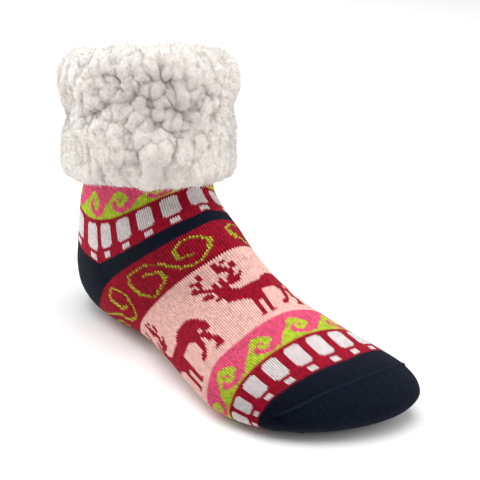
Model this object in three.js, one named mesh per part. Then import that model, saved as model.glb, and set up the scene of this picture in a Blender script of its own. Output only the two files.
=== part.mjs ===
// Slipper sock for the right foot: a jacquard sock knitted whole, and a thick sherpa cuff turned down over
// its top edge.
// Millimetres. +X runs from heel to toe, +Y towards the big toe's side, +Z up. The floor is at z = 0, and
// the origin is on the floor under the middle of the sock's bounding box.
import * as THREE from 'three';
import { mergeVertices } from 'three/addons/utils/BufferGeometryUtils.js';

// Driving sizes of the last, the foot-shaped form that the sock is stretched over
const footLength = 256; // heel back to toe tip
const ballWidth = 107;
const heelWidth = 74;
const legHeight = 100; // floor to where the straight leg begins, on its axis
const legSetback = 52; // heel back to the leg's axis at that height
const legDepth = 89; // heel side to instep side
const legWidth = 78;
const legShift = -3; // where that axis starts, sideways of the heel's middle
const legLean = 13; // degrees, leaning back over the heel
const legSideLean = 6; // degrees, leaning to the big toe's side

// The knit
const knitWall = 3;
const knitTop = 74; // length of straight leg under the cuff, up to the knit's top edge
const aroundSegments = 36;

// The sherpa cuff, measured along the leg and out from the knit
const cuffStart = 1; // how far up the straight leg its lower edge lies
const cuffPile = 16.5; // thickness of the turned-down layer
const cuffLining = 7; // thickness of the layer inside the leg
const cuffInside = 34; // how deep that layer reaches into the leg
const cuffRoll = 6; // thickness of the fold over the knit's top edge
const cuffSegments = 72;

// The curls that the cuff's pile clumps into
const curlHeight = 3.2;
const curlSpacing = 15;

const clearance = 0.3; // gap between pieces that meet

// Sections of the last, from the leg down around the heel and forward to the toes. Each joins a point on
// the instep line to a point on the heel and sole line.
// alongF, upF: instep point. alongB, upB: sole point. Along is a share of footLength, up of legHeight.
// half: half width, a share of the named width. shift: sideways, a share of ballWidth. ridge: how far the
// instep line leans to the big toe's side, the same. tilt: share of legSideLean. waist: where the widest
// point lies from sole (0) to instep (1). roundF, roundB: squareness of the two halves, 2 for an ellipse.
// steps: rings to the next row.
const sectionColumns = [
  'alongF', 'upF', 'alongB', 'upB', 'half', 'shift', 'ridge', 'tilt', 'waist', 'roundF', 'roundB', 'steps',
];
const heelSections = [
  [.382, 1.010, .012, .740, .525, -.020, 0, .8, .50, 2.0, 2.0, 2],
  [.412, .955, .000, .545, .525, -.015, 0, .6, .49, 2.0, 2.0, 2],
  [.450, .905, -.006, .370, .530, -.010, 0, .4, .47, 2.0, 2.0, 2],
  [.488, .855, -.003, .230, .535, -.005, 0, .2, .45, 2.0, 2.1, 2],
  [.523, .795, .022, .095, .530, 0, 0, 0, .43, 2.0, 2.2, 2],
  [.557, .728, .080, .000, .520, .008, .01, 0, .42, 2.0, 2.2, 3],
  [.591, .660, .185, -.020, .520, .015, .02, 0, .41, 2.0, 2.2, 3],
];
const footSections = [
  [.629, .597, .320, .030, .385, .012, .02, 0, .40, 2.0, 2.3, 3],
  [.676, .540, .455, .035, .430, -.002, .02, 0, .39, 2.0, 2.5, 3],
  [.730, .490, .580, .000, .475, -.010, .03, 0, .38, 2.1, 2.6, 2],
  [.788, .438, .684, -.030, .505, 0, .04, 0, .37, 2.2, 2.7, 2],
  [.852, .388, .778, -.030, .500, .040, .05, 0, .38, 2.2, 2.6, 2],
  [.912, .335, .864, -.015, .445, .110, .05, 0, .40, 2.2, 2.4, 2],
  [.958, .275, .930, .020, .345, .185, .04, 0, .43, 2.1, 2.2, 2],
  [.986, .215, .972, .065, .215, .240, .02, 0, .46, 2.0, 2.0, 2],
  [.997, .175, .992, .103, .105, .260, 0, 0, .50, 2.0, 2.0, 0],
];
const toeTip = { along: 1, up: .137, shift: .262 };
const legRings = 5; // along the straight leg

const lean = THREE.MathUtils.degToRad(legLean);
const sideLean = THREE.MathUtils.degToRad(legSideLean);
const legUp = { x: -Math.sin(lean), y: Math.tan(sideLean), z: Math.cos(lean) };
const legAhead = { x: Math.cos(lean), z: Math.sin(lean) };

// One section in millimetres, at a height along the straight leg
function legSection(height) {
  const centreX = legSetback + legUp.x * height;
  const centreZ = legHeight + legUp.z * height;
  return {
    frontX: centreX + legAhead.x * legDepth / 2,
    frontZ: centreZ + legAhead.z * legDepth / 2,
    backX: centreX - legAhead.x * legDepth / 2,
    backZ: centreZ - legAhead.z * legDepth / 2,
    half: legWidth / 2,
    shift: legShift + legUp.y * height,
    ridge: 0,
    tilt: -sideLean,
    waist: .5, roundF: 2, roundB: 2, steps: 1,
  };
}

function lastSection(values, width) {
  const row = Object.fromEntries(sectionColumns.map((name, column) => [name, values[column]]));
  return {
    frontX: row.alongF * footLength,
    frontZ: row.upF * legHeight,
    backX: row.alongB * footLength,
    backZ: row.upB * legHeight,
    half: row.half * width,
    shift: row.shift * ballWidth,
    ridge: row.ridge * ballWidth,
    tilt: -row.tilt * sideLean,
    waist: row.waist, roundF: row.roundF, roundB: row.roundB, steps: row.steps,
  };
}

const knots = [
  ...Array.from({ length: legRings }, (_, ring) => legSection(knitTop * (1 - ring / (legRings - 1)))),
  ...heelSections.map((row) => lastSection(row, heelWidth)),
  ...footSections.map((row) => lastSection(row, ballWidth)),
];
const sectionKeys = Object.keys(knots[0]);

// The section at any place between the knots, on a smooth curve through all of them
function sectionAt(place) {
  const last = knots.length - 1;
  const index = Math.min(Math.floor(place), last - 1);
  const share = place - index;
  const around = [-1, 0, 1, 2].map((step) => knots[THREE.MathUtils.clamp(index + step, 0, last)]);
  const section = {};
  for (const key of sectionKeys) {
    const [before, start, end, after] = around.map((knot) => knot[key]);
    const leave = index === 0 ? end - start : (end - before) / 2;
    const arrive = index === last - 1 ? end - start : (after - start) / 2;
    const square = share * share;
    const cube = square * share;
    section[key] = (2 * cube - 3 * square + 1) * start + (cube - 2 * square + share) * leave
      + (3 * square - 2 * cube) * end + (cube - square) * arrive;
  }
  return section;
}

const signedPower = (value, power) => Math.sign(value) * Math.abs(value) ** power;

// A point on the last. Angle 0 is the instep line, and half a turn is the heel and sole line.
function lastPoint(place, angle) {
  const section = sectionAt(place);
  const ahead = Math.cos(angle);
  const side = Math.sin(angle);
  const roundness = 2 / (ahead >= 0 ? section.roundF : section.roundB);
  const reach = signedPower(ahead, roundness);
  const waistX = section.backX + (section.frontX - section.backX) * section.waist;
  const waistZ = section.backZ + (section.frontZ - section.backZ) * section.waist;
  const endX = ahead >= 0 ? section.frontX - waistX : waistX - section.backX;
  const endZ = ahead >= 0 ? section.frontZ - waistZ : waistZ - section.backZ;
  const width = section.half * signedPower(side, roundness);
  return new THREE.Vector3(
    waistX + endX * reach,
    section.shift + section.ridge * Math.max(reach, 0) + width * Math.cos(section.tilt),
    waistZ + endZ * reach + width * Math.sin(section.tilt),
  );
}

// The direction out of the last at a point of it
function lastNormal(place, angle) {
  const step = 0.01;
  const lastKnot = knots.length - 1;
  const along = lastPoint(Math.min(place + step, lastKnot), angle)
    .sub(lastPoint(Math.max(place - step, 0), angle));
  const across = lastPoint(place, angle + step).sub(lastPoint(place, angle - step));
  return along.cross(across).normalize();
}

// The last grown by an offset, and pressed flat where it would go below a level
function skinPoint(place, angle, offset, level) {
  const point = lastPoint(place, angle).addScaledVector(lastNormal(place, angle), offset);
  point.z = Math.max(point.z, level);
  return point;
}

const turn = (step, count) => (step / count) * Math.PI * 2;

// A closed mesh from rings of points, with a pole at an end or joined end to start
function solidFromRings(rings, { startPole, endPole, looped = false }) {
  const count = rings[0].length;
  const points = rings.flat();
  const faces = [];
  const at = (ring, step) => (ring % rings.length) * count + (step % count);
  for (let ring = 0; ring < (looped ? rings.length : rings.length - 1); ring++) {
    for (let step = 0; step < count; step++) {
      faces.push([at(ring, step), at(ring, step + 1), at(ring + 1, step + 1)]);
      faces.push([at(ring, step), at(ring + 1, step + 1), at(ring + 1, step)]);
    }
  }
  for (const [pole, ring, flip] of [[startPole, 0, true], [endPole, rings.length - 1, false]]) {
    if (!pole) continue;
    const tip = points.push(pole) - 1;
    for (let step = 0; step < count; step++) {
      const edge = [at(ring, step), at(ring, step + 1)];
      faces.push(flip ? [edge[1], edge[0], tip] : [edge[0], edge[1], tip]);
    }
  }
  const geometry = new THREE.BufferGeometry();
  geometry.setAttribute('position',
    new THREE.Float32BufferAttribute(points.flatMap((point) => point.toArray()), 3));
  geometry.setIndex(faces.flat());
  return geometry;
}

// Turns every face over if the solid is inside out
function facingOut(geometry) {
  const position = geometry.attributes.position;
  const index = geometry.index;
  const corner = (place) => new THREE.Vector3().fromBufferAttribute(position, index.getX(place));
  let volume = 0;
  for (let face = 0; face < index.count; face += 3) {
    volume += corner(face).dot(corner(face + 1).cross(corner(face + 2)));
  }
  if (volume < 0) {
    for (let face = 0; face < index.count; face += 3) {
      const second = index.getX(face + 1);
      index.setX(face + 1, index.getX(face + 2));
      index.setX(face + 2, second);
    }
  }
  return geometry;
}

// Places of the rings down the whole last
function ringPlaces() {
  const places = [];
  for (let knot = 0; knot < knots.length - 1; knot++) {
    const { steps } = knots[knot];
    for (let step = 0; step < steps; step++) places.push(knot + step / steps);
  }
  places.push(knots.length - 1);
  return places;
}

// The knitted sock: leg, heel pocket, foot and toe pocket in one hollow wall, open at the top
function makeKnitSock() {
  const steps = [...Array(aroundSegments).keys()].map((step) => turn(step, aroundSegments));
  const places = ringPlaces();
  const ring = (place, offset, level) => steps.map((angle) => skinPoint(place, angle, offset, level));
  const outer = places.map((place) => ring(place, 0, 0));
  // The inner face stops where the toe gets too thin to hold both walls
  const roomy = places.filter((place) => {
    const { frontZ, backZ, half } = sectionAt(place);
    return place < legRings || Math.min(Math.abs(frontZ - backZ) / 2, half) > knitWall * 1.5;
  });
  const inner = roomy.map((place) => ring(place, -knitWall, knitWall));
  const tip = new THREE.Vector3(
    toeTip.along * footLength, toeTip.shift * ballWidth, toeTip.up * legHeight);
  const innerTip = tip.clone().setX(tip.x - knitWall);
  return solidFromRings([...inner.reverse(), ...outer], { startPole: innerTip, endPole: tip });
}

// Height of the clumped pile at a place on the cuff: rows of round curls, each pushed off its grid place
function curl(angle, height) {
  const girth = Math.PI * (legDepth + legWidth) / 2 + Math.PI * 2 * cuffPile;
  const columns = Math.round(girth / curlSpacing);
  const row = height / curlSpacing;
  let tallest = 0;
  for (let near = Math.floor(row) - 1; near <= Math.floor(row) + 2; near++) {
    const column = (angle / (Math.PI * 2)) * columns + (near % 2) / 2;
    for (let beside = Math.floor(column) - 1; beside <= Math.floor(column) + 2; beside++) {
      const seed = ((beside % columns) + columns) % columns * 12.9898 + near * 78.233;
      const jogX = 0.3 * Math.sin(seed);
      const jogY = 0.3 * Math.sin(seed * 1.7);
      const size = 0.75 + 0.25 * Math.sin(seed * 2.3);
      const away = Math.hypot(column - beside - jogX, row - near - jogY);
      tallest = Math.max(tallest, size * (1 - (away / 0.95) ** 2));
    }
  }
  return tallest * curlHeight;
}

// The cuff's cut face, once around: height along the leg, distance out from the knit, and whether the pile
// shows there. It hooks over the knit's top edge, which lies in the slot between its two layers.
function cuffStations() {
  const inside = -(knitWall + clearance);
  const bare = (height, out) => ({ height, out, pile: 0 });
  const fluffy = (height, out, pile = 1) => ({ height, out, pile });
  const rise = (share) => share * (knitTop + cuffRoll);
  const body = cuffPile - curlHeight / 2;
  return [
    bare(knitTop + clearance, clearance),
    bare(rise(.5), clearance),
    bare(cuffStart + 1, clearance),
    fluffy(cuffStart, cuffPile * .30, .2),
    fluffy(cuffStart, cuffPile * .62, .5),
    fluffy(rise(.05), body * .98),
    fluffy(rise(.13), body * 1.04),
    fluffy(rise(.21), body * 1.03),
    fluffy(rise(.29), body),
    fluffy(rise(.37), body * .97),
    fluffy(rise(.45), body * .94),
    fluffy(rise(.53), body * .96),
    fluffy(rise(.61), body),
    fluffy(rise(.69), body * 1.04),
    fluffy(rise(.77), body * 1.02),
    fluffy(rise(.85), body * .90),
    fluffy(rise(.925), body * .66),
    fluffy(rise(.98), body * .34, .8),
    fluffy(rise(1), 0, .6),
    fluffy(rise(.985), inside * .7, .5),
    fluffy(rise(.93), inside - cuffLining * .75, .3),
    bare(rise(.84), inside - cuffLining),
    bare(knitTop - cuffInside * .6, inside - cuffLining),
    bare(knitTop - cuffInside, inside - cuffLining * .7),
    bare(knitTop - cuffInside, inside),
    bare(knitTop + clearance, inside),
  ];
}

// The sherpa cuff: the lining's top, folded out and down over the leg
function makeCuff() {
  const steps = [...Array(cuffSegments).keys()].map((step) => turn(step, cuffSegments));
  const rings = cuffStations().map(({ height, out, pile }) => steps.map((angle) => {
    const section = legSection(height);
    const reach = Math.cos(angle);
    const side = Math.sin(angle);
    // An oval's outward direction, in the plane of this height
    const ahead = reach / (legDepth / 2);
    const across = side / (legWidth / 2);
    const length = Math.hypot(ahead, across);
    const lump = pile * (curl(angle, height) - curlHeight / 2);
    const from = (out + lump) / length;
    const depth = legDepth / 2 * reach + from * ahead;
    const width = section.half * side + from * across;
    return new THREE.Vector3(
      (section.frontX + section.backX) / 2 + legAhead.x * depth,
      section.shift + width * Math.cos(section.tilt),
      (section.frontZ + section.backZ) / 2 + legAhead.z * depth + width * Math.sin(section.tilt),
    );
  }));
  return solidFromRings(rings, { looped: true });
}

function addPiece(group, name, geometry, colour, roughness) {
  const material = new THREE.MeshStandardMaterial({ color: colour, roughness, metalness: 0 });
  const mesh = new THREE.Mesh(mergeVertices(facingOut(geometry), 1e-5), material);
  mesh.name = name;
  group.add(mesh);
}

const sock = new THREE.Group();
addPiece(sock, 'knit_sock', makeKnitSock(), 0xa3142f, 0.92);
addPiece(sock, 'sherpa_cuff', makeCuff(), 0xe6ded6, 0.95);

// The origin goes under the middle of the whole sock
const box = new THREE.Box3().setFromObject(sock, true);
sock.position.set(-(box.min.x + box.max.x) / 2, -(box.min.y + box.max.y) / 2, -box.min.z);

export default sock;
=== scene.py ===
import math
import bpy
import numpy as np
from mathutils import Matrix, Vector, kdtree
from mathutils.bvhtree import BVHTree


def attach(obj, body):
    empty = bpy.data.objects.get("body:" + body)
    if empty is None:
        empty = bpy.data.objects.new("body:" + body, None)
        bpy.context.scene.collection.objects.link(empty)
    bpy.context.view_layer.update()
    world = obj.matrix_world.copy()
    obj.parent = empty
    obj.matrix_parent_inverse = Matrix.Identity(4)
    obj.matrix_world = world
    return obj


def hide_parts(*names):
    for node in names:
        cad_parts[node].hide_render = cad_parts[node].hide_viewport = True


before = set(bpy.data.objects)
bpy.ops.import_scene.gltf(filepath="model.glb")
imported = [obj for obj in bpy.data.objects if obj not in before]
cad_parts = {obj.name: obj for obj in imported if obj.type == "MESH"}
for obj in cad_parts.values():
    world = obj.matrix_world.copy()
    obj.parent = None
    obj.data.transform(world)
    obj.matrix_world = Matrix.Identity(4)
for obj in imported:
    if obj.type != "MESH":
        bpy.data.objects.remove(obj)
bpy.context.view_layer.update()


# The sock's shape, as it sits when it is worn. One tube from the leg's top to the toe, knitted in one go and
# then steamed on a flat form. Each row is a cut across the tube: where its instep side and its heel or sole
# side lie (along the foot, and up), half its width, and how it leans and rounds.
foot_length, ball_width, heel_width = 256, 107, 74
leg_height, leg_setback = 100, 52
leg_depth, leg_width = 89, 78
leg_shift, leg_lean, leg_side_lean = -3, math.radians(13), math.radians(6)
leg_straight = 74
leg_cuts = 5
sole_lift = 1.35
heel_line = np.array([-117.7, -1.6, 0])
heel_cuts = (
    (.382, 1.010, .012, .740, .525, -.020, 0, .8, .50, 2.0, 2.0),
    (.412, .955, .000, .545, .525, -.015, 0, .6, .49, 2.0, 2.0),
    (.450, .905, -.006, .370, .530, -.010, 0, .4, .47, 2.0, 2.0),
    (.488, .855, -.003, .230, .535, -.005, 0, .2, .45, 2.0, 2.1),
    (.523, .795, .022, .095, .530, 0, 0, 0, .43, 2.0, 2.2),
    (.557, .728, .080, .000, .520, .008, .01, 0, .42, 2.0, 2.2),
    (.591, .660, .185, -.020, .520, .015, .02, 0, .41, 2.0, 2.2),
)
foot_cuts = (
    (.629, .597, .320, .030, .385, .012, .02, 0, .40, 2.0, 2.3),
    (.676, .540, .455, .035, .430, -.002, .02, 0, .39, 2.0, 2.5),
    (.730, .490, .580, .000, .475, -.010, .03, 0, .38, 2.1, 2.6),
    (.788, .438, .684, -.030, .505, 0, .04, 0, .37, 2.2, 2.7),
    (.852, .388, .778, -.030, .500, .040, .05, 0, .38, 2.2, 2.6),
    (.912, .335, .864, -.015, .445, .110, .05, 0, .40, 2.2, 2.4),
    (.958, .275, .930, .020, .345, .185, .04, 0, .43, 2.1, 2.2),
    (.986, .215, .972, .065, .215, .240, .02, 0, .46, 2.0, 2.0),
    (.997, .175, .992, .103, .105, .260, 0, 0, .50, 2.0, 2.0),
)


def leg_middle(height):
    return np.stack([leg_setback - math.sin(leg_lean) * height, leg_shift + math.tan(leg_side_lean) * height,
                     leg_height + math.cos(leg_lean) * height], -1)


def leg_cut(height):
    x, shift, z = leg_middle(height)
    ahead, rise = math.cos(leg_lean) * leg_depth / 2, math.sin(leg_lean) * leg_depth / 2
    return (x + ahead, z + rise, x - ahead, z - rise, leg_width / 2, shift, 0, -leg_side_lean, .5, 2, 2)


def lower_cut(row, width):
    front, front_up, back, back_up, half, shift, ridge, lean, waist, round_front, round_back = row
    return (front * foot_length, front_up * leg_height, back * foot_length, back_up * leg_height,
            half * width, shift * ball_width, ridge * ball_width, -lean * leg_side_lean, waist,
            round_front, round_back)


cuts = np.array(
    [leg_cut(leg_straight * (1 - step / (leg_cuts - 1))) for step in range(leg_cuts)]
    + [lower_cut(row, heel_width) for row in heel_cuts]
    + [lower_cut(row, ball_width) for row in foot_cuts]
)
last_cut = len(cuts) - 1


def smooth_step(share, start, leave, end, arrive):
    """A smooth way from a start to an end, with the slopes at which it leaves and arrives."""
    square, cube = share ** 2, share ** 3
    return ((2 * cube - 3 * square + 1) * start + (cube - 2 * square + share) * leave
            + (3 * square - 2 * cube) * end + (cube - square) * arrive)


def cut_at(place):
    """The cut at any place between two of the rows, on a smooth line through all of them."""
    row = np.minimum(np.floor(place).astype(int), last_cut - 1)
    share = (place - row)[..., None]
    before, start, end, after = (cuts[np.clip(row + step, 0, last_cut)] for step in (-1, 0, 1, 2))
    leave = np.where((row == 0)[..., None], end - start, (end - before) / 2)
    arrive = np.where((row == last_cut - 1)[..., None], end - start, (after - start) / 2)
    return smooth_step(share, start, leave, end, arrive)


def tube_point(place, angle):
    """A point on the tube: how many rows down, and the angle from the instep line towards the big toe."""
    place, angle = np.broadcast_arrays(np.asarray(place, float), np.asarray(angle, float))
    (front_x, front_z, back_x, back_z, half, shift, ridge, lean, waist,
     round_front, round_back) = np.moveaxis(cut_at(place), -1, 0)
    ahead, side = np.cos(angle), np.sin(angle)
    power = 2 / np.where(ahead >= 0, round_front, round_back)
    reach = np.sign(ahead) * np.abs(ahead) ** power
    width = half * np.sign(side) * np.abs(side) ** power
    middle_x = back_x + (front_x - back_x) * waist
    middle_z = back_z + (front_z - back_z) * waist
    reach_x = np.where(ahead >= 0, front_x - middle_x, middle_x - back_x)
    reach_z = np.where(ahead >= 0, front_z - middle_z, middle_z - back_z)
    x = middle_x + reach_x * reach
    y = shift + ridge * np.maximum(reach, 0) + width * np.cos(lean)
    z = middle_z + reach_z * reach + width * np.sin(lean)
    return np.stack([x, y, np.maximum(z, sole_lift)], -1) + heel_line


girth_rows, girth_columns = 240, 720
girth_places = np.linspace(0, last_cut, girth_rows + 1)
girth_angles = np.linspace(-np.pi, np.pi, girth_columns + 1)
girth_points = tube_point(girth_places[:, None], girth_angles[None, :])
girth_steps = np.linalg.norm(np.diff(girth_points, axis=1), axis=2)
girth_lengths = np.concatenate([np.zeros((girth_rows + 1, 1)), np.cumsum(girth_steps, 1)], 1)
instep_lengths = girth_lengths[:, girth_columns // 2, None]
girth_shares = (girth_lengths - instep_lengths) / girth_lengths[:, -1:]
share_steps = np.linspace(-.5, .5, girth_columns + 1)
angle_of_share = np.array([np.interp(share_steps, row, girth_angles) for row in girth_shares])


def angle_at(place, share):
    """The angle that lies a given share of the girth from the instep line, -0.5 to 0.5."""
    row = np.clip(np.asarray(place) / last_cut * girth_rows, 0, girth_rows - .001)
    column = np.clip((np.asarray(share) + .5) * girth_columns, 0, girth_columns - .001)
    row, column = np.broadcast_arrays(row, column)
    top, left = row.astype(int), column.astype(int)
    down, right = row - top, column - left
    upper = angle_of_share[top, left] * (1 - right) + angle_of_share[top, left + 1] * right
    lower = angle_of_share[top + 1, left] * (1 - right) + angle_of_share[top + 1, left + 1] * right
    return upper * (1 - down) + lower * down


# The knitted fabric: a fine jacquard knit of 180 wales, in acrylic yarn with a little elastane, knitted
# from the leg's top down. Every course is knitted in two yarns, and the one that isn't needed floats behind
# and shows a little between the wales where the knit is stretched.
# The colours also get painted shade: darker in the grooves between wales and at the joints between courses.
wales = 180
back_wale = -wales // 2
borders = {
    "top": (2.8, 3.05, 3.4, 3.6, 3.6, 3.4, 3.2, 3.1),
    "leg_blocks": (4.15, 4.75, 5.50, 5.96, 5.90, 5.45, 5.2, 5.1),
    "stripe": (6.19, 6.74, 7.34, 7.89, 8.23, 7.2, 6.6, 6.35),
    "scrolls": (7.02, 7.55, 8.17, 8.69, 9.20, 9.95, 10.3, 10.4),
    "deer": (9.07, 9.58, 10.18, 10.74, 11.27, 11.79, 12.05, 12.1),
    "foot_waves": (13.35, 13.49, 13.77, 14.05, 14.65, 15.1, 15.2, 15.2),
    "foot_blocks": (14.65, 14.74, 14.89, 15.13, 15.48, 15.75, 15.85, 15.85),
    "toe": (16.24, 16.19, 16.17, 16.17, 16.28, 16.45, 16.5, 16.5),
    "toe_seam": (17.21, 17.18, 17.04, 16.87, 16.52, 16.70, 16.85, 16.90),
}
border_shares = (0, .07, .14, .21, .28, .35, .42, .5)
band_courses = (22, 20, 9, 24, 44, 17, 20, 8)
band_starts = np.concatenate([[0], np.cumsum(band_courses)])
heel_point = 56
heel_share = .28
marked_wales = (0, 12, 24, 36, 48, 60, 75, 90)
marked_courses = np.array([22, 42, 52, 63, 85, 110, 128, 146])
wale_spread = (
    (0, 70, 129, 184, 236, 279, 372, 500),
    (0, 72, 134, 194, 250, 294, 385, 500),
    (0, 72, 134, 194, 250, 294, 385, 500),
    (0, 68, 132, 193, 248, 288, 378, 500),
    (0, 67, 134, 203, 277, 335, 412, 500),
    (0, 67, 136, 200, 262, 320, 400, 500),
    (0, 67, 134, 197, 260, 296, 385, 500),
    (0, 67, 134, 197, 251, 290, 385, 500),
)
twist_courses, twist_wales = (130, 138, 153, 165), (0, .5, -3, -5)
wale_columns, course_rows = 4, 2
rib_height, leg_heights, course_heights = .42, (0, 1, .42, 1), (.45, 1)
stitch_slant, leg_slants = 1.4, (.5, 0, -.5, 0)
# Groove and joint depths set how much float shows and how much painted shade the grooves and course joints
# get.
groove_depth = (1, .06, .16, .06)
joint_groove, course_groove = 1.1, .4
groove_shade, joint_shade = .78, .14
dye_uneven, light_even = .22, .18
side_wale, side_width = 28, 20


def smooth_line(x, xs, ys, flat_ends=False):
    """A smooth line through a few given points."""
    xs, ys = np.array(xs, float), np.array(ys, float)
    gaps, slopes = np.diff(xs), np.diff(ys) / np.diff(xs)
    tangents = np.empty(len(xs))
    tangents[1:-1] = (slopes[:-1] * gaps[1:] + slopes[1:] * gaps[:-1]) / (gaps[1:] + gaps[:-1])
    tangents[0], tangents[-1] = (0, 0) if flat_ends else (slopes[0], slopes[-1])
    piece = np.clip(np.searchsorted(xs, x, side="right") - 1, 0, len(xs) - 2)
    gap = gaps[piece]
    return smooth_step((x - xs[piece]) / gap, ys[piece], gap * tangents[piece], ys[piece + 1],
                       gap * tangents[piece + 1])


def border_at(name, share):
    """How far down the tube a border lies. The stripe's has a corner where the heel pocket starts."""
    away, line = np.abs(share), borders[name]
    if name != "stripe":
        return smooth_line(away, border_shares, line, flat_ends=True)
    corner = border_shares.index(heel_share)
    front = smooth_line(np.minimum(away, heel_share), border_shares[:corner + 1], line[:corner + 1])
    back = smooth_line(np.maximum(away, heel_share), border_shares[corner:], line[corner:])
    return np.where(away <= heel_share, front, back)


def place_at(course, share):
    """How far down the tube a course runs, at a share of the girth."""
    course, share = np.broadcast_arrays(np.asarray(course, float), np.asarray(share, float))
    names = list(borders)
    band = np.clip(np.searchsorted(band_starts, course, side="right") - 1, 0, len(band_courses) - 1)
    place = np.empty(course.shape)
    for number in np.unique(band):
        here = band == number
        along = (course[here] - band_starts[number]) / band_courses[number]
        upper, lower = (border_at(names[number + step], share[here]) for step in (0, 1))
        place[here] = upper + (lower - upper) * along
    return place


def wale_share(course, wale):
    """Where a wale lies round the tube, from a table in thousandths of the girth: the knit is stretched more
    at some places than at others, and by the toe it has twisted a few wales outwards."""
    course, wale = np.broadcast_arrays(np.asarray(course, float), np.asarray(wale, float))
    wale = np.where(wale > wales / 2, wale - wales, wale)
    spreads = [np.sign(wale) * smooth_line(np.abs(wale), marked_wales, row) / 1000 for row in wale_spread]
    mark = np.clip(np.searchsorted(marked_courses, course, side="right") - 1, 0, len(marked_courses) - 2)
    along = (course - marked_courses[mark]) / (marked_courses[mark + 1] - marked_courses[mark])
    along = np.clip(along, 0, 1)
    spread = np.choose(mark, spreads) * (1 - along) + np.choose(mark + 1, spreads) * along
    twist = np.interp(course, twist_courses, twist_wales) / wales * (1 - (wale / (wales / 2)) ** 2)
    return spread + twist


def unit(vectors):
    return vectors / np.maximum(np.linalg.norm(vectors, axis=-1, keepdims=True), 1e-9)


def outward(points, closed=False):
    """The direction out of the fabric at each point of a grid of rows down and columns round."""
    down = np.gradient(points, axis=0)
    if closed:
        across = np.roll(points, -1, 1) - np.roll(points, 1, 1)
    else:
        across = np.gradient(points, axis=1)
    return unit(np.cross(down, across))


def linear(colour):
    """A yarn's colour from its dye card, as the light it sends back."""
    card = np.array([int(colour[first:first + 2], 16) / 255 for first in (1, 3, 5)])
    return np.where(card <= .04045, card / 12.92, ((card + .055) / 1.055) ** 2.4)


# The darker crimson is only for the grooves of crimson stitches: painted shade.
crimson, crimson_groove_shade = linear("#A60E2C"), linear("#40040F")
pink, lime = linear("#EB587F"), linear("#B5CD36")
peach, white, navy = linear("#F6C4B9"), linear("#E2DDDC"), linear("#0B1424")
dyes = np.random.default_rng(3)


def put_in(name, data):
    thing = bpy.data.objects.new(name, data)
    bpy.context.scene.collection.objects.link(thing)
    return thing


def make_mesh(name, points, faces, material, colours=None, spread=None):
    """A mesh in metres from arrays in millimetres, with a colour and a flat place for each face's corners."""
    mesh = bpy.data.meshes.new(name)
    mesh.vertices.add(len(points))
    mesh.vertices.foreach_set("co", (np.asarray(points) / 1000).ravel().astype(np.float32))
    mesh.loops.add(faces.size)
    mesh.loops.foreach_set("vertex_index", faces.ravel().astype(np.int32))
    mesh.polygons.add(len(faces))
    mesh.polygons.foreach_set("loop_start", np.arange(0, faces.size, faces.shape[1], dtype=np.int32))
    mesh.update(calc_edges=True)
    mesh.polygons.foreach_set("use_smooth", np.ones(len(faces), bool))
    if colours is not None:
        yarn = mesh.color_attributes.new("yarn", "FLOAT_COLOR", "CORNER")
        opaque = np.ones((faces.size, 4), np.float32)
        opaque[:, :3] = colours.reshape(-1, 3)
        yarn.data.foreach_set("color", opaque.ravel())
    if spread is not None:
        layer = mesh.uv_layers.new(name="OFBake")
        layer.data.foreach_set("uv", spread.reshape(-1, 2).astype(np.float32).ravel())
    mesh.materials.append(material)
    return put_in(name, mesh)


def grid_faces(rows, columns, closed=False):
    """The four corners of every patch in a grid of points, with the patch's own row and column."""
    round_count = columns if closed else columns - 1
    row, column = np.meshgrid(np.arange(rows - 1), np.arange(round_count), indexing="ij")
    row, column = row.ravel(), column.ravel()
    beside = (column + 1) % columns
    corners = np.stack([row * columns + column, (row + 1) * columns + column,
                        (row + 1) * columns + beside, row * columns + beside], 1)
    return corners, row, column


def stitch_relief(rows, columns):
    """How far the yarn stands out at each point of the grid: two legs to a wale, lower where courses meet."""
    legs = np.array(leg_heights)[np.arange(columns) % wale_columns]
    courses = np.array(course_heights)[np.arange(rows) % course_rows]
    return rib_height * legs[None, :] * courses[:, None]


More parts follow.
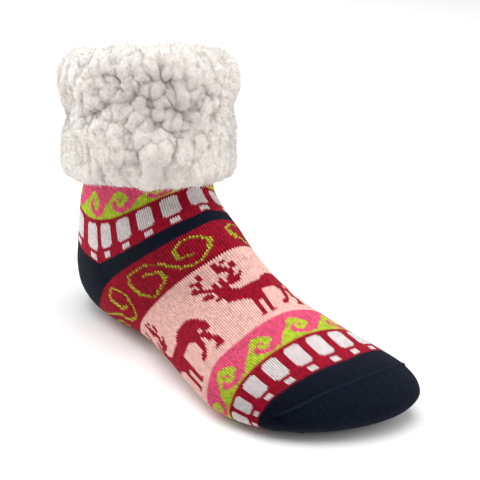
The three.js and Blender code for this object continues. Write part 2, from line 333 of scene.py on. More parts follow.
def knit(name, surface, courses, first_wale, wale_count, chart, depths=groove_depth):
    """Knits one piece. Its surface gives the points, courses down and wales round, and its chart the colours
    of each stitch's face and of its grooves, where the float behind shows and painted shade darkens them.
    The grooves and the joints between courses are then darkened further, also as painted shade."""
    closed = wale_count == wales
    columns = wale_count * wale_columns + (0 if closed else 1)
    rows = courses * course_rows + 1
    wale = first_wale + np.arange(columns) / wale_columns
    slant = stitch_slant * np.array(leg_slants)[np.arange(columns) % wale_columns]
    course = np.arange(rows)[:, None] / course_rows + slant[None, :]
    points = surface(course, np.broadcast_to(wale, course.shape))
    points = points + outward(points, closed) * stitch_relief(rows, columns)[..., None]
    corners, row, column = grid_faces(rows, columns, closed)
    stitch = row // course_rows, column // wale_columns
    face_colour, float_and_shade_colour = chart(*stitch)
    uptake = dyes.normal(0, 1, (courses, wale_count))[stitch]
    shade = np.clip(1 + uptake * (dye_uneven - light_even * face_colour.mean(1)), .5, 1.5)
    corner_row = np.stack([row, row + 1, row + 1, row], 1)
    corner_column = np.stack([column, column, column + 1, column + 1], 1)
    joint = corner_row % course_rows == 0
    from_side = np.abs(first_wale + column / wale_columns) - side_wale
    stretched = .5 + .5 * np.exp(-(from_side / side_width) ** 2)
    groove = np.array(depths)[corner_column % wale_columns] * stretched[:, None]
    groove = groove * np.where(joint, joint_groove, course_groove)
    shows = np.minimum(groove, 1)[..., None]
    colours = face_colour[:, None] * (1 - shows) + float_and_shade_colour[:, None] * shows
    # Painted shade: darker in the grooves between wales and at the joints between courses, more where
    # stretched.
    lit = np.clip(1 - groove_shade * groove - joint_shade * joint, .05, 1) * shade[:, None]
    colours = np.clip(colours * lit[..., None], 0, 1)
    spread = np.stack([corner_column / (wale_count * wale_columns), 1 - corner_row / (rows - 1)], -1)
    piece = make_mesh(name, points.reshape(-1, 3), corners, yarn_finish, colours, spread)
    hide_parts("knit_sock")
    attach(piece, "root")
    return piece


def knit_band(name, band, chart, depths=groove_depth):
    """Knits a whole band, all the way round."""
    knit(name, ring_surface(band_starts[band]), band_courses[band], back_wale, wales, chart, depths)


def ring_surface(first_course):
    """The tube's own surface from one course down."""
    def surface(course, wale):
        share = wale_share(course + first_course, wale)
        place = place_at(course + first_course, share)
        return tube_point(place, angle_at(place, share))
    return surface


def new_finish(name, colour, roughness, sheen):
    """A cloth finish: dull, with a soft bloom of light at its edges."""
    material = bpy.data.materials.new(name)
    material.use_nodes = True
    shader = material.node_tree.nodes["Principled BSDF"]
    shader.inputs["Base Color"].default_value = (*colour, 1)
    shader.inputs["Roughness"].default_value = roughness
    shader.inputs["Specular IOR Level"].default_value = .08
    shader.inputs["Sheen Weight"].default_value = sheen
    shader.inputs["Sheen Roughness"].default_value = .5
    return material, material.node_tree.nodes, material.node_tree.links, shader


def cloth_noise(nodes, links, scale, detail, distortion=0):
    """A fine noise that runs through the cloth."""
    place = nodes.new("ShaderNodeTexCoord")
    noise = nodes.new("ShaderNodeTexNoise")
    noise.inputs["Scale"].default_value = scale
    noise.inputs["Detail"].default_value = detail
    noise.inputs["Distortion"].default_value = distortion
    links.new(place.outputs["Object"], noise.inputs["Vector"])
    return noise.outputs["Fac"]


def mottle(nodes, links, shader, noise, darkest, lightest):
    """Gives the finish the mesh's own colours, the yarns' with their painted shade, taken up unevenly."""
    dye = nodes.new("ShaderNodeVertexColor")
    dye.layer_name = "yarn"
    uneven = nodes.new("ShaderNodeMapRange")
    uneven.inputs["To Min"].default_value = darkest
    uneven.inputs["To Max"].default_value = lightest
    dyed = nodes.new("ShaderNodeVectorMath")
    dyed.operation = "SCALE"
    links.new(noise, uneven.inputs["Value"])
    links.new(dye.outputs["Color"], dyed.inputs[0])
    links.new(uneven.outputs["Result"], dyed.inputs["Scale"])
    links.new(dyed.outputs["Vector"], shader.inputs["Base Color"])


def roughen(nodes, links, shader, noise, strength, depth):
    """Raises the finish's nap by a noise, up to a depth in metres."""
    nap = nodes.new("ShaderNodeBump")
    nap.inputs["Strength"].default_value = strength
    nap.inputs["Distance"].default_value = depth
    links.new(noise, nap.inputs["Height"])
    links.new(nap.outputs["Normal"], shader.inputs["Normal"])


yarn_finish, nodes, links, shader = new_finish("knitted_yarn", peach, .88, .05)
mottle(nodes, links, shader, cloth_noise(nodes, links, 420, 3), .82, 1.14)
roughen(nodes, links, shader, cloth_noise(nodes, links, 2600, 4), .35, .00025)


# The leg's top band: pink, with a row of curling waves in lime just above the blocks. One of two wave bands.
# The chart is a knitter's: each line is a course, and lists the stitches that are knitted in the second yarn.
wave_stitches = 20
wave_courses = (
    "13-14", "11-16", "11-17", "10-18", "9-12 15-19", "8-10 13-14 16-19", "6-9 13-14 16-19",
    "5-9 13-17", "4-9 14-16", "3-10", "2-11", "1-13 19-19", "0-19",
)
leg_crest, foot_crest = 11, 14


def charted(stitches, courses):
    chart = np.zeros((len(courses), stitches), bool)
    for course, runs in enumerate(courses):
        for run in runs.split():
            first, last = (int(number) for number in run.split("-"))
            chart[course, first:last + 1] = True
    return chart


waves = charted(wave_stitches, wave_courses)


def two_yarns(second, faces, floats_and_shades):
    """A chart's colours, of faces and of grooves, which mix floats and painted shade: the first of two
    where the second yarn is knitted.
    """
    return np.where(second[:, None], *faces), np.where(second[:, None], *floats_and_shades)


def wave_chart(courses, crest_stitch):
    """Pink courses, and the waves on the last thirteen."""
    def chart(course, wale):
        wave_course = course - (courses - len(waves))
        stitch = (wale + back_wale + crest_stitch) % wave_stitches
        crest = (wave_course >= 0) & waves[np.maximum(wave_course, 0), stitch]
        # The grooves take crimson and a dark crimson mix: painted shade between the wales.
        return two_yarns(crest, (lime, pink), (crimson * .5 + lime * .3, crimson))
    return chart


hidden_courses = 8
top_courses = hidden_courses + band_courses[0]
knit("leg_waves", ring_surface(-hidden_courses), top_courses, back_wale, wales,
     wave_chart(top_courses, leg_crest))


# The leg's block band: white blocks on crimson, each with a smaller one hung under it, like a row of tassels.
# Knitted with the leg; the foot has the same band again before the toe.
block_stitches = 12
block_courses = (
    "", "", "3-8", *["2-9"] * 10, "3-8", "", "", *["4-7"] * 3, "",
)
block_middle = 6
blocks = charted(block_stitches, block_courses)


def block_chart(course, wale):
    in_block = blocks[course, (wale + back_wale + block_middle) % block_stitches]
    # White stitches show the crimson float in their grooves; crimson ones a dark crimson, which is painted
    # shade.
    return two_yarns(in_block, (white, crimson), (crimson, crimson_groove_shade))


knit_band("leg_blocks", 1, block_chart)


# The navy stripe over the ankle, and the heel pocket that it runs into: knitted to and fro on the back half
# of the needles, so its courses fan out round the heel from a point on each side.
heel_courses = 58
heel_rows = 121


def navy_chart(course, wale):
    face = np.broadcast_to(navy, (len(course), 3))
    # One yarn only, so the grooves are a darker navy: painted shade.
    return face, face * .6


def evenly_down(points, rows):
    """Moves each column's points to an even spacing down the fabric. Rows past 0 or 1 run on straight."""
    inside = np.clip(rows, 0, 1)
    made = np.empty((len(rows), points.shape[1], 3))
    for column in range(points.shape[1]):
        line = points[:, column]
        steps = np.linalg.norm(np.diff(line, axis=0), axis=1)
        along = np.concatenate([[0], np.cumsum(steps)]) + np.linspace(0, 1e-6, len(points))
        for axis in range(3):
            made[:, column, axis] = np.interp(inside[:, column] * along[-1], along, line[:, axis])
        past = (rows - inside)[:, column, None] * along[-1]
        ends = np.where(past < 0, line[2] - line[0], line[-1] - line[-3])
        made[:, column] += past * unit(ends)
    return made


def heel_surface(course, wale):
    share = wale_share(band_starts[2], wale[0])
    steps = np.linspace(0, 1, heel_rows)[:, None]
    upper, lower = border_at("stripe", share), border_at("scrolls", share)
    place = upper + (lower - upper) * steps
    points = tube_point(place, angle_at(place, np.broadcast_to(share, place.shape)))
    return evenly_down(points, course / heel_courses)


knit("ankle_stripe", ring_surface(band_starts[2]), band_courses[2], -heel_point, heel_point * 2,
     navy_chart)
knit("heel_pocket", heel_surface, heel_courses, heel_point, wales - heel_point * 2, navy_chart)


# The scroll band: crimson, with a thin lime line that runs on in S-shaped scrolls, four to a round. The line
# is one stitch wide, and every second stitch of it has slipped half behind the crimson, so it looks sewn.
scroll_stitches = 45
scroll_line = (
    (10, 9.5), (12, 9.8), (14.5, 10.8), (16.5, 12.2), (17.5, 13.2), (18, 17.6), (16.5, 19), (14, 20.6),
    (11, 21), (7, 21), (5.5, 19), (4.5, 16.8), (2.5, 15.8), (1, 9.3), (2, 7.5), (3.5, 5.6), (4.5, 4.2),
    (10, 4.2), (13.5, 4.6), (16, 6), (18, 8), (19.5, 9.4), (21, 10.8), (22.5, 12.8), (24, 15.2), (25.5, 17.8),
    (27.5, 19.2), (30, 20.4), (33, 20.8), (35, 19.8), (36.5, 18.3), (37.5, 16.2), (38, 13.6), (38.5, 10),
    (37.5, 7.4), (36, 5.2), (34, 3.8), (31, 3.7), (28.5, 4.8), (26.5, 6.9), (26, 10), (26.5, 12), (28, 13.1),
    (30.5, 14.1), (32.5, 14.1),
)


line_steps = 40


def scroll_cells():
    """Marks the stitches that the line passes over, two wide where it runs almost straight down."""
    cells = np.zeros((band_courses[3], scroll_stitches), bool)
    for (x, y), (next_x, next_y) in zip(scroll_line[:-1], scroll_line[1:]):
        straight_down = abs(next_y - y) > 3 * max(abs(next_x - x), .1)
        for share in np.linspace(0, 1, line_steps):
            stitch = int(x + (next_x - x) * share) % scroll_stitches
            course = min(int(y + (next_y - y) * share), band_courses[3] - 1)
            cells[course, stitch] = True
            if straight_down:
                cells[course, (stitch + 1) % scroll_stitches] = True
    return cells


scrolls = scroll_cells()


def scroll_chart(course, wale):
    line = scrolls[course, (wale + back_wale) % scroll_stitches]
    slipped = line & ((course + wale) % 2 == 1)
    # Grooves are darkened crimson: behind lime the crimson float with painted shade, behind crimson painted
    # shade only.
    face, float_and_shade = two_yarns(line, (lime * 1.3, crimson * 1.12), (crimson * .6, crimson * .35))
    return np.where(slipped[:, None], lime * .3 + crimson * .6, face), float_and_shade


thin_stitches = (1.15, .62, 0, .62)
knit_band("scroll_band", 3, scroll_chart, thin_stitches)


# The reindeer band over the instep: crimson deer on peach, four to a round. A traditional winter motif,
# charted here stitch by stitch from the antlers down to the hooves, and knitted in with the rest.
deer_stitches = 45
deer_first_wale = -28
deer_courses = (
    "", "", "17-18", "10-11 17-18 20-21", "10-11 17-18 20-21", "6-7 10-11 17-19", "6-11 17-19 22-23",
    "8-9 17-20 22-23", "5-6 8-9 17-20 22-23", "4-6 8-9 19-23", "4-8 20-21", "5-8 16-16 20-21",
    "7-9 12-13 15-16 19-21", "8-10 12-13 15-16 18-20 23-23", "9-13 15-16 18-23", "6-8 10-13 15-22",
    "5-9 11-21", "6-9 11-16 18-21", "8-9 11-16", "11-16 31-38", "9-17 29-40", "9-18 28-41", "12-42",
    "12-42", "12-43", "12-44", "14-44", "16-38 41-44", "18-25 33-38 41-44", "19-25 34-42 43-44",
    "20-25 35-41", "20-25 35-37 39-42", "20-25 35-37 40-42", "20-21 24-25 35-37 40-42",
    "20-21 24-25 35-37 40-43", "20-21 24-25 35-36 42-44", "20-21 24-25 33-36 42-44",
    "20-21 24-25 32-35 42-44", "20-21 24-25 32-34 41-44", "20-21 24-25 40-44", "19-21 24-26", "", "", "",
)
deer = charted(deer_stitches, deer_courses)


def deer_chart(course, wale):
    in_deer = deer[course, (wale + back_wale - deer_first_wale) % deer_stitches]
    # Crimson stitches get dark crimson grooves, painted shade; peach ones the crimson float, darkened as
    # painted shade.
    return two_yarns(in_deer, (crimson, peach), (crimson_groove_shade, crimson * .5 + peach * .28))


knit_band("deer_band", 4, deer_chart)


# The foot's wave and block bands: the same two patterns as on the leg, in the same yarns. They are knitted
# straight on from the deer, in fewer courses, and their last course leads into the toe.
knit_band("foot_waves", 5, wave_chart(band_courses[5], foot_crest))
knit_band("foot_blocks", 6, block_chart)


# The toe: a few plain navy courses, then a pocket knitted to and fro on the sole's half of the needles. It
# runs forward under the toes, turns up round them and back over them, to the seam.
toe_courses = 54
toe_side = 45
toe_cut, toe_rows, toe_columns = 16, 130, 360
toe_tip = np.array([foot_length, .262 * ball_width, .137 * leg_height]) + heel_line
tip_shares = (.25, .5, .75, .97)
ray_turns, ray_fan, shortest_ray = np.linspace(0, math.pi, 61), .010, .5
smoothing_times, smoothing = 240, .2


def toe_tube():
    """The whole toe as one closed surface, to find the pocket's points on."""
    places = np.linspace(toe_cut, last_cut, toe_rows)
    angles = np.linspace(-np.pi, np.pi, toe_columns, endpoint=False)
    skin = tube_point(places[:, None], angles[None, :])
    end = skin[-1]
    rounds = [end + (toe_tip - end) * share for share in tip_shares]
    skin = np.concatenate([skin, np.array(rounds)])
    corners = grid_faces(len(skin), len(angles), closed=True)[0]
    return BVHTree.FromPolygons(skin.reshape(-1, 3).tolist(), corners.tolist())


def toe_surface(course, wale):
    """Finds the pocket's points by rays that start on the line between its two corners, and turn from the
    sole forward and up to the seam. Then it evens them out."""
    toe = toe_tube()
    side = (wale[0] - toe_side) / (wales - 2 * toe_side)
    under = wale_share(band_starts[8], wale[0])
    over = wale_share(band_starts[8], toe_side * (1 - 2 * side))
    sole, seam = (tube_point(border_at("toe_seam", share), angle_at(border_at("toe_seam", share), share))
                  for share in (under, over))
    hinge = (sole + seam) / 2
    back = seam - hinge
    reach = np.linalg.norm(back, axis=1, keepdims=True)
    ahead = np.stack([np.ones(len(side)), ray_fan * (toe_tip[1] - hinge[:, 1]), np.zeros(len(side))], 1)
    points = np.empty((len(ray_turns), len(side), 3))
    for column in range(len(side)):
        if reach[column, 0] < shortest_ray:
            points[:, column] = seam[column]
            continue
        up = Vector(back[column] / reach[column])
        forward = Vector(ahead[column])
        forward = (forward - up * forward.dot(up)).normalized()
        start = Vector(hinge[column])
        for row, turn in enumerate(ray_turns):
            aim = forward * math.sin(turn) - up * math.cos(turn)
            hit, _, _, _ = toe.ray_cast(start, aim)
            points[row, column] = hit if hit is not None else seam[column]
        points[0, column], points[-1, column] = sole[column], seam[column]
    even_rows = np.broadcast_to(np.linspace(0, 1, len(course))[:, None], course.shape)
    points = evenly_down(points, even_rows)
    for _ in range(smoothing_times):
        middle = points[1:-1, 1:-1]
        around = points[:-2, 1:-1] + points[2:, 1:-1] + points[1:-1, :-2] + points[1:-1, 2:]
        points[1:-1, 1:-1] = middle + smoothing * (around - 4 * middle)
    return evenly_down(points, np.minimum(course / toe_courses, 1))


knit_band("toe_courses", 7, navy_chart)
knit("toe_pocket", toe_surface, toe_courses, toe_side, wales - 2 * toe_side, navy_chart)


# The toe seam: the pocket's last course linked to the instep's, loop by loop, in the toe's navy yarn. The
# linking leaves a low corded line over the toes, thinner at its two ends.
seam_radius = .8
seam_sides = 8
seam_rows, taper_rows = 361, 30
thin_end, loop_bump = .3, .14
seam_row = np.arange(seam_rows)
seam_share = wale_share(band_starts[8], np.linspace(-toe_side, toe_side, seam_rows))
seam_place = border_at("toe_seam", seam_share)
seam_line = tube_point(seam_place, angle_at(seam_place, seam_share))
ahead = unit(np.gradient(seam_line, axis=0))
across = unit(np.cross(ahead, [0, 0, 1]))
upward = np.cross(across, ahead)
seam_turns = np.linspace(0, 2 * np.pi, seam_sides, endpoint=False)[None, :, None]
seam_rings = across[:, None] * np.cos(seam_turns) + upward[:, None] * np.sin(seam_turns)
thin = np.minimum(1, np.minimum(seam_row, seam_row[::-1]) / taper_rows + thin_end)
thick = seam_radius * thin * (1 + loop_bump * np.sin(seam_row * np.pi / 2))
seam_points = seam_line[:, None] + seam_rings * thick[:, None, None]
seam_faces = grid_faces(len(seam_points), seam_sides, closed=True)[0]
# The seam's navy is a little lighter than the toe's: a painted highlight along the cord.
seam_highlight_colours = np.broadcast_to(navy * 1.05, (seam_faces.size, 3))
toe_seam = make_mesh("toe_seam", seam_points.reshape(-1, 3), seam_faces, yarn_finish, seam_highlight_colours)
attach(toe_seam, "root")


# The grip under the sole: soft dots of silicone, printed through a screen in staggered rows and cured with
# heat. They reach from the knit down to the floor, and the sock stands on them.
dot_spacing, dot_row_spacing, dot_edge = 8.5, 7.4, 5
dot_radii, dot_heights = (2.1, 2.05, 1.8, 1.1, .02), (1.3, .5, .15, 0, 0)
dot_sides = 12
sole_side, row_reach, sole_cut = 60, 3, 8
foot_places, foot_turns = np.linspace(sole_cut, last_cut, 500), np.linspace(-np.pi, np.pi, 500)
underside = tube_point(foot_places[:, None], foot_turns[None, :])
underside = underside[underside[..., 2] < sole_lift + .01]
first_dot, last_dot = underside[:, 0].min() + dot_edge, underside[:, 0].max() - dot_edge
dot_middles = []
for number, x in enumerate(np.arange(first_dot, last_dot, dot_row_spacing)):
    beside = underside[np.abs(underside[:, 0] - x) < row_reach, 1]
    for y in np.arange(-sole_side, sole_side, dot_spacing) + number % 2 * dot_spacing / 2:
        if len(beside) and beside.min() + dot_edge < y < beside.max() - dot_edge:
            dot_middles.append((x, y))
dot_middles = np.array(dot_middles)
dot_turns = np.linspace(0, 2 * np.pi, dot_sides, endpoint=False)
ring = np.stack([np.cos(dot_turns), -np.sin(dot_turns)], -1)
dot_points = np.zeros((len(dot_middles), len(dot_radii), dot_sides, 3))
dot_points[..., :2] = dot_middles[:, None, None] + np.array(dot_radii)[:, None, None] * ring
dot_points[..., 2] = np.array(dot_heights)[:, None]
one_dot = grid_faces(len(dot_radii), dot_sides, closed=True)[0]
dot_faces = one_dot + np.arange(len(dot_middles))[:, None, None] * len(dot_radii) * dot_sides
silicone, _, _, shader = new_finish("dot_silicone", linear("#20242C"), .45, 0)
shader.inputs["Specular IOR Level"].default_value = .4
dots = make_mesh("grip_dots", dot_points.reshape(-1, 3), dot_faces.reshape(-1, 4), silicone)
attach(dots, "root")


# The cuff: the top of the sherpa lining, folded out over the knit's edge and down the leg. It is curly
# polyester pile on a knitted back, which clumps into curls with deep creases between them. It has been
# squeezed at the outer front and opposite, and is smoother in between.
cuff_pile, cuff_roll, cuff_inside = 16.5, 6, 34
cuff_columns, cuff_step = 500, .8
curl_sizes, curl_heights = (20, 9, 5.2, 3.2), (2.2, 2.4, 2.0, 1.5)
curl_rounds, curl_softness = (1.0, .75, .8, .7), (6, 2, 1, 1)
curl_lights, curl_room = (.25, .37, .21, .17), 4.9
curl_gap, curl_tops, curl_reaches = .52, (.55, 1), (.52, .80)
placed_gap, placed_reach = .95, 1.12
curl_bend, bend_size, bend_waves = .25, 2.4, 5
pile_random = np.random.default_rng(21)


def leg_point(angle, height, out):
    """A point beside the leg: round it, up along it, and out from the knit."""
    forward = np.array([math.cos(leg_lean), 0, math.sin(leg_lean)])
    sideways = np.array([0, math.cos(leg_side_lean), -math.sin(leg_side_lean)])
    return (leg_middle(height) + heel_line + forward * ((leg_depth / 2 + out) * np.cos(angle))[..., None]
            + sideways * ((leg_width / 2 + out) * np.sin(angle))[..., None])


cuff_top = leg_straight + cuff_roll
cuff_body = cuff_pile - curl_room
cuff_line = np.array([
    (15, .8), (8, .8), (5, 1.5), (3.0, cuff_body * .30), (2.4, cuff_body * .66),
    (3.6, cuff_body * .92), (7.5, cuff_body * 1.02), (13, cuff_body * 1.04), (22, cuff_body * 1.01),
    (35, cuff_body * .95), (43, cuff_body * .96), (50, cuff_body), (56, cuff_body * 1.04),
    (62, cuff_body * 1.02), (68, cuff_body * .92), (72.5, cuff_body * .68), (75.5, cuff_body * .36),
    (cuff_top - 3.8, 0), (75.5, -3.5), (72.5, -7.5), (67, -9.5), (54, -10), (leg_straight - cuff_inside, -9),
])


def dense_line(line, step):
    """The same line with points at an even step, eased round its corners."""
    for _ in range(2):
        middles = (line[:-1] + line[1:]) / 2
        eased = (line[1:-1] * 6 + line[:-2] + line[2:]) / 8
        joined = np.empty((len(line) + len(middles), 2))
        joined[0::2] = line
        joined[2:-1:2] = eased
        joined[1::2] = middles
        line = joined
    lengths = np.concatenate([[0], np.cumsum(np.linalg.norm(np.diff(line, axis=0), axis=1))])
    at = np.linspace(0, lengths[-1], int(lengths[-1] / step) + 1)
    return np.stack([np.interp(at, lengths, line[:, 0]), np.interp(at, lengths, line[:, 1])], 1)


def tree_of(points):
    tree = kdtree.KDTree(len(points))
    for number, point in enumerate(points):
        tree.insert(point, number)
    tree.balance()
    return tree


def curled(points, size, warp, rounded, spacing=.5, placed=()):
    """How far a pile of round curls this big stands out, 0 in the creases and 1 on the tallest curls. Placed
    curls come first, each a spot and a radius, and the others keep clear of them."""
    tries = pile_random.choice(len(points), int(len(points) * spacing / size ** 2 * 3), replace=False)
    tree = tree_of(points[tries])
    kept = np.ones(len(tries), bool)
    for number, seed in enumerate(points[tries]):
        if kept[number]:
            for _, other, _ in tree.find_range(seed, size * curl_gap):
                if other > number:
                    kept[other] = False
    for spot, radius in placed:
        kept &= np.linalg.norm(points[tries] - spot, axis=1) > radius * placed_gap
    seeds = points[tries[kept]]
    tall = pile_random.uniform(*curl_tops, len(seeds))
    reach = size * pile_random.uniform(*curl_reaches, len(seeds))
    if placed:
        seeds = np.concatenate([seeds, [spot for spot, _ in placed]])
        tall = np.concatenate([tall, np.ones(len(placed))])
        reach = np.concatenate([reach, [radius * placed_reach for _, radius in placed]])
    tree = tree_of(seeds)
    heights = np.zeros(len(points))
    for number, point in enumerate(points + warp * size * curl_bend):
        for _, curl, away in tree.find_n(point, 4):
            heights[number] += (tall[curl] * max(0, 1 - (away / reach[curl]) ** 2) ** rounded) ** 3
    return np.minimum(1, heights ** (1 / 3))


def wander(points, scale, seed):
    """A smooth random push, the same for near points, that bends the curls."""
    random = np.random.default_rng(seed)
    push = np.zeros_like(points)
    for _ in range(bend_waves):
        aim = random.normal(0, 1, (3, 3)) * 2 * math.pi / scale
        push += np.sin(points @ aim + random.uniform(0, 2 * math.pi, 3))
    return push / 2.2


edge_dip, edge_drop, edge_turn = 1.0, .6, math.radians(48)
edge_reach, low_part = 40, 26
squeezed_turn, smoother_sides = math.radians(-44), .42
hidden_rows, fade_rows = 8, 14
inside_from, inside_fade, inside_flatter = .72, .1, .5
marks_end, marks_fade, outer_part = .76, 12, .6
cuff_creases = (
    (-57, 49, -45, 40, 2.2, 5), (-48, 52, -39, 51, 2.4, 3.4), (-39, 51, -29, 56, 2.4, 3.4),
    (-41, 42, -37, 34, 2.2, 3.6), (-39, 33, -41, 26, 2, 3), (-24, 46, -17, 40, 5, 3.6),
    (-21, 40, -19, 31, 2.6, 3.4), (-24, 26, -19, 28, 2.2, 2.6), (-76, 56, -75, 50, 2.4, 3),
    (-71, 46, -82, 41, 4, 3), (-64, 37, -66, 34, 2.2, 2.4), (-61, 21, -49, 22, 1.8, 2.6),
    (-44, 24, -36, 24, 2.2, 2.8), (-10, 79, -9, 70, 3, 3), (0, 54, 3, 50, 3, 2.6), (4, 46, 3, 32, 2.2, 3),
    (-3, 30, 1, 22, 3, 2.6), (-62, 70, -61, 58, 3.4, 3.2), (-52, 67, -51, 63, 3, 3.2),
    (-39, 64, -29, 62, 4.4, 3.8), (-75, 70, -73, 64, 2, 2.4), (-71, 31, -69, 25, 2, 2.4),
    (-50, 80, -45, 76, 5, 3.6), (-14, 53, -15, 47, 2.2, 2.8), (-89, 39, -87, 35, 3, 2.4),
    (7, 76, 6, 68, 4, 2.4), (-154, 39, -112, 38, 7, 3.4), (38, 44, 60, 42, 7, 2.4),
    (100, 60, 112, 38, 4, 3.2), (150, 70, 158, 52, 5, 3), (-165, 60, -150, 52, 4, 3),
    (128, 30, 140, 26, 4, 2.8), (-105, 66, -98, 50, 3, 2.2), (70, 44, 82, 36, 4, 2.6),
    (130, 82, 140, 76, 7, 3.6),
)
cuff_hollows = (
    (-56, 52, -20, 42, 18, 3.2), (-66, 10, -24, 10, 10, 1.6), (-150, 22, 150, 22, 6, .5),
)
cuff_curls = (
    (-21, 56, 6.2), (-38, 68, 4.8), (-47, 56, 3.4), (-47, 64, 4.0), (-52, 35, 4.2), (-44, 33, 4.8),
    (-61, 33, 3.6), (-31, 36, 2.9), (-35, 30, 3.4), (-28, 30, 4.0), (-24, 35, 2.8), (-57, 30, 2.7),
    (-60, 25, 5.4), (-32, 24, 2.7), (-47, 18, 3.0), (-57, 17, 2.8), (-1, 64, 6.2), (-12, 66, 4.2),
    (-2, 42, 5.4), (-57, 71, 4.0), (-67, 61, 4.6), (-57, 58, 4.2), (-46, 47, 4.0), (-36, 57, 3.4),
    (-34, 47, 3.6), (-41, 74, 4.0), (-30, 72, 3.4), (-20, 72, 4.2), (-10, 40, 5.0), (-9, 52, 4.4),
    (-97, 64, 6.4), (-91, 50, 6.0), (-94, 31, 5.2), (-82, 69, 5.2), (-76, 33, 3.8), (-12, 24, 5.2),
    (17, 64, 6.4), (17, 42, 6.0), (19, 28, 5.6), (-20, 24, 3.0),
)
cuff_swells = (
    (-112, 62, -128, 66, 12, 3), (40, 62, 56, 66, 12, 2.6), (148, 79, 158, 79, 8, 3),
    (108, 79, 118, 79, 8, 3), (82, 79, 90, 79, 7, 2.6), (-28, 78, -12, 78, 9, 3),
    (-74, 78, -64, 78, 8, 2.6), (44, 28, 58, 28, 9, 1.4),
)


def cuff_surface(turns, profile, lock_stretch=1):
    """The cuff before its pile is curled. Its lower edge dips at the sock's outer side. With less stretch the
    low part's points lie closer together, which makes the curls there longer."""
    height, out = profile[:, :1], profile[:, 1:]
    edge = -edge_drop - edge_dip * np.cos(2 * (turns[None, :] + edge_turn))
    height = height + edge * np.clip(1 - height / edge_reach, 0, 1)
    height = np.where(height < low_part, low_part - (low_part - height) * lock_stretch, height)
    return leg_point(turns[None, :], height, out)


profile = dense_line(cuff_line, cuff_step)
profile_row = np.arange(len(profile))
turns = np.linspace(-np.pi, np.pi, cuff_columns, endpoint=False)
pile_points = cuff_surface(turns, profile)
curl_points = cuff_surface(turns, profile, lock_stretch=.5).reshape(-1, 3)
shows = np.clip((profile_row - hidden_rows) / fade_rows, 0, 1)[:, None]
inside_share = (profile_row - len(profile) * inside_from) / (len(profile) * inside_fade)
inside_share = np.clip(inside_share, 0, 1)[:, None]
brushed_out = 1 - smoother_sides * np.abs(np.sin(turns - squeezed_turn)) ** 3
pile_share = shows * (1 - inside_flatter * inside_share) * brushed_out[None, :]
girth = math.pi * (leg_depth + leg_width) / 2 + 2 * math.pi * cuff_pile
pile_outward = outward(pile_points, True)
round_leg = np.stack(np.broadcast_arrays(turns[None, :] / (2 * math.pi) * girth, profile[:, :1]), -1)


def pressed(marks):
    """How far the hand has pressed short strokes into the pile: each from one place to another, given by
    the turn round the leg and the height, and then how wide and how deep."""
    depth = np.zeros(pile_points.shape[:2])
    for turn_a, height_a, turn_b, height_b, wide, deep in marks:
        start = np.array([math.radians(turn_a) / (2 * math.pi) * girth, height_a])
        end = np.array([math.radians(turn_b) / (2 * math.pi) * girth, height_b])
        along = np.clip(((round_leg - start) @ (end - start)) / ((end - start) @ (end - start)), 0, 1)
        away = np.linalg.norm(round_leg - start - along[..., None] * (end - start), axis=-1)
        depth = np.maximum(depth, deep * np.exp(-(away / wide) ** 2))
    return depth * np.clip((marks_end - profile_row / len(profile)) * marks_fade, 0, 1)[:, None]


def softened(field, times):
    """Evens out a field of values over the pile, so that no crease is sharper than the wool is thick."""
    for _ in range(times):
        field = (field * 2 + np.roll(field, 1, 1) + np.roll(field, -1, 1)) / 4
        field[1:-1] = (field[1:-1] * 2 + field[:-2] + field[2:]) / 4
    return field


sunk = pressed(cuff_creases) + pressed(cuff_hollows)
pile_points = pile_points + pile_outward * (sunk - pressed(cuff_swells))[..., None]
placed_curls = []
for turn, height, radius in cuff_curls:
    row = np.argmin(np.abs(profile[:int(len(profile) * outer_part), 0] - height))
    column = np.argmin(np.abs(turns - math.radians(turn)))
    placed_curls.append((curl_points[row * cuff_columns + column], radius))
# curl_share records how high the curls stand, for the painted shade below.
curl_share = np.zeros(pile_points.shape[:2])
for number, size in enumerate(curl_sizes):
    placed = placed_curls if number == 1 else ()
    warp = wander(curl_points, size * bend_size, 5 + number)
    curls = curled(curl_points, size, warp, curl_rounds[number], placed=placed)
    curls = softened(curls.reshape(curl_share.shape), curl_softness[number])
    raised = curl_heights[number] * curls * pile_share
    pile_points = pile_points - outward(pile_points, True) * raised[..., None]
    curl_share += curls * curl_lights[number]
cuff_faces = grid_faces(len(profile), cuff_columns, closed=True)[0][:, ::-1]
# Painted shade: the pile is greyer down in the creases between curls and in the pressed marks, lighter on the
# curl tops, and less shaded on the smoother sides.
crease_shade_wool, curl_wool = linear("#C4BDB7"), linear("#F5EFE8")
curl_contrast, darkest_curl, sunk_shade = 1.9, .08, .062
pile_unshaded = np.clip(curl_share * curl_contrast - darkest_curl, 0, 1)
pile_unshaded = (1 - (1 - pile_unshaded) * brushed_out).reshape(-1, 1)
pile_shade = (1 - sunk_shade * sunk).reshape(-1, 1)
shaded_pile_wool = (crease_shade_wool * (1 - pile_unshaded) + curl_wool * pile_unshaded) * pile_shade
pile_colours = shaded_pile_wool[cuff_faces]

wool_finish, nodes, links, shader = new_finish("sherpa_wool", linear("#EEE8E1"), .95, .35)
strands = cloth_noise(nodes, links, 900, 6, 1.2)
mottle(nodes, links, shader, strands, .58, 1.34)
roughen(nodes, links, shader, strands, .9, .0013)
cuff = make_mesh("sherpa_pile", pile_points.reshape(-1, 3), cuff_faces, wool_finish, pile_colours)
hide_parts("sherpa_cuff")
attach(cuff, "root")


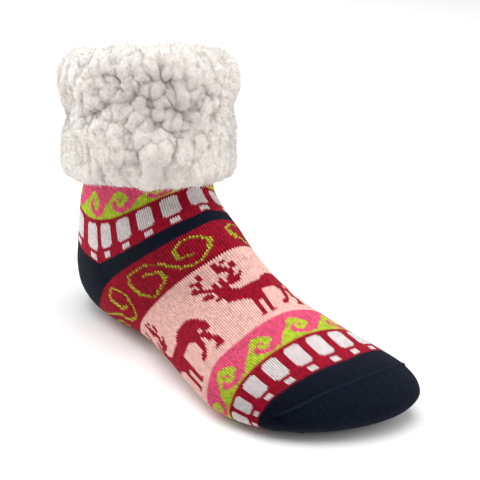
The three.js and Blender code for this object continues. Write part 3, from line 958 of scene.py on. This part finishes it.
# Loose fibres on the cuff: fine crimped strands of the pile's own polyester that brushing has pulled out of
# the curls. Each is a tapered strand of two short lengths, and bends over where they meet.
fibre_count, fibre_width, fibre_lengths = 44000, .24, (1.4, 3.2)
fibre_lean, fibre_bend = .75, .8
fibre_root, fibre_tip = .55, .45
fibre_tone, tone_uneven = 1.04, .13
showing = (shows * (1 - inside_share * .8) > .3)[:, 0]
roots = pile_points[showing].reshape(-1, 3)
outs = -outward(pile_points, closed=True)[showing].reshape(-1, 3)
shades = shaded_pile_wool.reshape(pile_points.shape)[showing].reshape(-1, 3)
chosen = pile_random.choice(len(roots), fibre_count)
root = roots[chosen]
aim = unit(outs[chosen] + pile_random.normal(0, fibre_lean, (fibre_count, 3)))
later = unit(aim + pile_random.normal(0, fibre_bend, (fibre_count, 3)))
long = pile_random.uniform(*fibre_lengths, (fibre_count, 1))
side = unit(np.cross(aim, pile_random.normal(0, 1, (fibre_count, 3)))) * fibre_width / 2
middle = root + aim * long * fibre_root
tip = middle + later * long * fibre_tip
fibre_points = np.stack([root - side, root + side, middle + side * .8, middle - side * .8, tip], 1)
start = np.arange(fibre_count)[:, None] * 5
fibre_faces = np.concatenate([start + [0, 1, 2], start + [0, 2, 3], start + [3, 2, 4]])
# Each strand takes its root's colour, painted crease shade included, with a random tone on top.
tones = np.clip(shades[chosen] * pile_random.normal(fibre_tone, tone_uneven, (fibre_count, 1)), 0, 1)
fibre_colours = np.tile(np.repeat(tones, 3, axis=0), (3, 1))
fuzz = make_mesh("sherpa_fibres", fibre_points.reshape(-1, 3), fibre_faces, wool_finish, fibre_colours)
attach(fuzz, "root")


# The lining inside: the same sherpa, sewn to shape and slipped into the knit, from under the cuff's inner
# layer down to the toe. The cuff is its top, folded out.
lining_depth, lining_floor = 5.5, 5
lining_rows, lining_columns = 110, 110
lining_cuts = (1.6, 18.6)
lump_size, lump_height, lump_bend = 9, 2.4, 20
lining_places = np.linspace(*lining_cuts, lining_rows)
lining_turns = np.linspace(-np.pi, np.pi, lining_columns, endpoint=False)
lining_base = tube_point(lining_places[:, None], lining_turns[None, :])
lining_out = outward(lining_base, closed=True)
flat_points = lining_base.reshape(-1, 3)
lumps = curled(flat_points, lump_size, wander(flat_points, lump_bend, 9), .6, spacing=3.2)
lumps = lumps.reshape(lining_base.shape[:2])
lining_points = lining_base - lining_out * (lining_depth + lump_height * lumps)[..., None]
lining_points[..., 2] = np.maximum(lining_points[..., 2], lining_floor)
lining_faces = grid_faces(lining_rows, lining_columns, closed=True)[0][:, ::-1]
# Painted shade: the lining is greyer in the creases between its lumps.
lining_unshaded = np.clip(lumps * 1.6, 0, 1).reshape(-1)[lining_faces][..., None]
lining_colours = crease_shade_wool * (1 - lining_unshaded) + curl_wool * lining_unshaded
lining = make_mesh("sherpa_lining", lining_points.reshape(-1, 3), lining_faces, wool_finish, lining_colours)
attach(lining, "root")


# The studio: a floor of white paper, a white room all round, and three large soft lights, one above and one
# at each side. Colours are shown plainly, with no film look over them.
floor_mesh = bpy.data.meshes.new("floor")
floor_mesh.from_pydata([(-6, -6, 0), (6, -6, 0), (6, 6, 0), (-6, 6, 0)], [], [(0, 1, 2, 3)])
floor = put_in("floor", floor_mesh)
paper = new_finish("white_paper", (.9, .9, .9), .9, 0)[0]
floor_mesh.materials.append(paper)

room = bpy.data.worlds.new("white_room")
room.use_nodes = True
room.node_tree.nodes["Background"].inputs["Color"].default_value = (1, 1, 1, 1)
room.node_tree.nodes["Background"].inputs["Strength"].default_value = .48
bpy.context.scene.world = room
bpy.context.scene.view_settings.view_transform = "Standard"


def soft_light(name, place, size, power):
    lamp = bpy.data.lights.new(name, "AREA")
    lamp.size = size
    lamp.energy = power
    light = put_in(name, lamp)
    light.location = place
    light.rotation_euler = (Vector((0, 0, .08)) - Vector(place)).to_track_quat("-Z", "Y").to_euler()


soft_light("top_light", (-.15, -.10, 1.5), 1.6, 25)
soft_light("right_light", (.95, .80, .6), 1.4, 9.5)
soft_light("left_light", (-1.15, -.8, .6), 1.4, 13)


# The camera: in front of the sock's outer side, a little above it and rolled by a few degrees, as in the
# photograph. It looks through a long lens, and the sight values shift the picture by a few pixels.
camera_turn, camera_rise, camera_roll = math.radians(46.34), math.radians(22.18), math.radians(-4.62)
camera_distance = .80616
camera_target = Vector((.0076, -.0009, .0826))
lens_pixels, image_pixels, film_width = 1323.1, 480, 36
sight_x, sight_y = 227.3, 236.94
back = Vector((math.sin(camera_turn) * math.cos(camera_rise), -math.cos(camera_turn) * math.cos(camera_rise),
               math.sin(camera_rise)))
level = Vector((math.cos(camera_turn), math.sin(camera_turn), 0))
upright = back.cross(level)
right = level * math.cos(camera_roll) - upright * math.sin(camera_roll)
up = level * math.sin(camera_roll) + upright * math.cos(camera_roll)
camera_data = bpy.data.cameras.new("camera")
camera_data.sensor_width = film_width
camera_data.lens = film_width * lens_pixels / image_pixels
camera_data.shift_x = (image_pixels / 2 - sight_x) / image_pixels
camera_data.shift_y = (sight_y - image_pixels / 2) / image_pixels
camera = put_in("camera", camera_data)
spot = camera_target + back * camera_distance
camera.matrix_world = Matrix.Translation(spot) @ Matrix((right, up, back)).transposed().to_4x4()
bpy.context.scene.camera = camera
